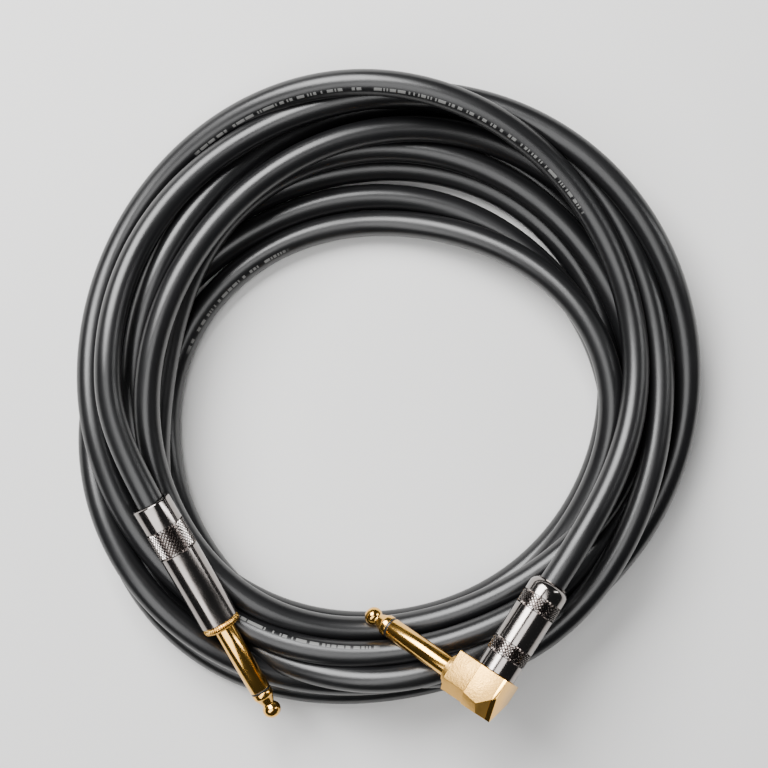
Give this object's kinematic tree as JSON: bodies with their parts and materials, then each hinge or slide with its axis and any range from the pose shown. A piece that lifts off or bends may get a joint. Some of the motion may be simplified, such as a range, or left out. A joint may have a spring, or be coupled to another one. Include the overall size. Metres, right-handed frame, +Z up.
{
  "type": "instrument cable",
  "caption": "Coiled instrument cable with one straight and one right-angle 1/4 inch mono plug whose barrels unscrew.",
  "frame": {"origin": "on the surface that the coil lies on, under the middle of the whole part", "axes": "+Z up, square to the coil; +Y from the plugs to the far side of the coil; +X from the straight plug's side to the right-angle plug's side"},
  "size_m": [0.196, 0.1961, 0.0478],
  "materials": {
    "gold_plating": "gold plated, polished on the shanks and satin on the elbow",
    "black_nickel": "black nickel plate, polished, with knurled bands",
    "black_insulator": "moulded plastic",
    "jacket": "satin flexible jacket",
    "clear_insulation": "natural insulation",
    "solder_and_tin": "tinned",
    "copper": "bare copper"
  },
  "bodies": {
    "root": {"straight_tip": "gold_plating", "straight_insulator": "black_insulator", "straight_sleeve": "gold_plating", "straight_collar": "gold_plating", "straight_spigot": "gold_plating", "straight_ground_lug": "solder_and_tin", "straight_tip_lug": "solder_and_tin", "straight_conductor": "copper", "straight_dielectric": "clear_insulation", "straight_shield_tail": "copper", "straight_solder": "solder_and_tin", "angled_tip": "gold_plating", "angled_insulator": "black_insulator", "angled_sleeve": "gold_plating", "angled_elbow": "gold_plating", "angled_end_cap": "gold_plating", "angled_spigot": "gold_plating", "angled_ground_lug": "solder_and_tin", "angled_tip_lug": "solder_and_tin", "angled_conductor": "copper", "angled_dielectric": "clear_insulation", "angled_shield_tail": "copper", "angled_solder": "solder_and_tin", "cable_tail_straight": "jacket", "cable_coil": "jacket", "cable_tail_angled": "jacket"},
    "straight_liner_body": {"straight_liner": "clear_insulation"},
    "straight_barrel_body": {"straight_barrel": "black_nickel"},
    "angled_liner_body": {"angled_liner": "clear_insulation"},
    "angled_barrel_body": {"angled_barrel": "black_nickel"}
  },
  "joints": [
    {"name": "straight_barrel_travel", "type": "slide", "parent": "root", "child": "straight_liner_body", "axis": [-0.4819, 0.8622, 0.1564], "range_m": [0, 0.00701]},
    {"name": "straight_barrel_spin", "type": "hinge", "parent": "straight_liner_body", "child": "straight_barrel_body", "pos_m": [-0.0703, -0.0321, 0.032], "axis": [-0.4819, 0.8622, 0.1564], "range_deg": [0, 2520]},
    {"name": "angled_barrel_travel", "type": "slide", "parent": "root", "child": "angled_liner_body", "axis": [0.547, 0.8335, -0.0777], "range_m": [0, 0.00701]},
    {"name": "angled_barrel_spin", "type": "hinge", "parent": "angled_liner_body", "child": "angled_barrel_body", "pos_m": [0.03039, -0.08073, 0.03952], "axis": [0.547, 0.8335, -0.0777], "range_deg": [0, 2520]}
  ],
  "couplings": [
    {"joint": "straight_barrel_travel", "follows": "straight_barrel_spin", "m_per_rad": 0.00015915},
    {"joint": "angled_barrel_travel", "follows": "angled_barrel_spin", "m_per_rad": 0.00015915}
  ]
}
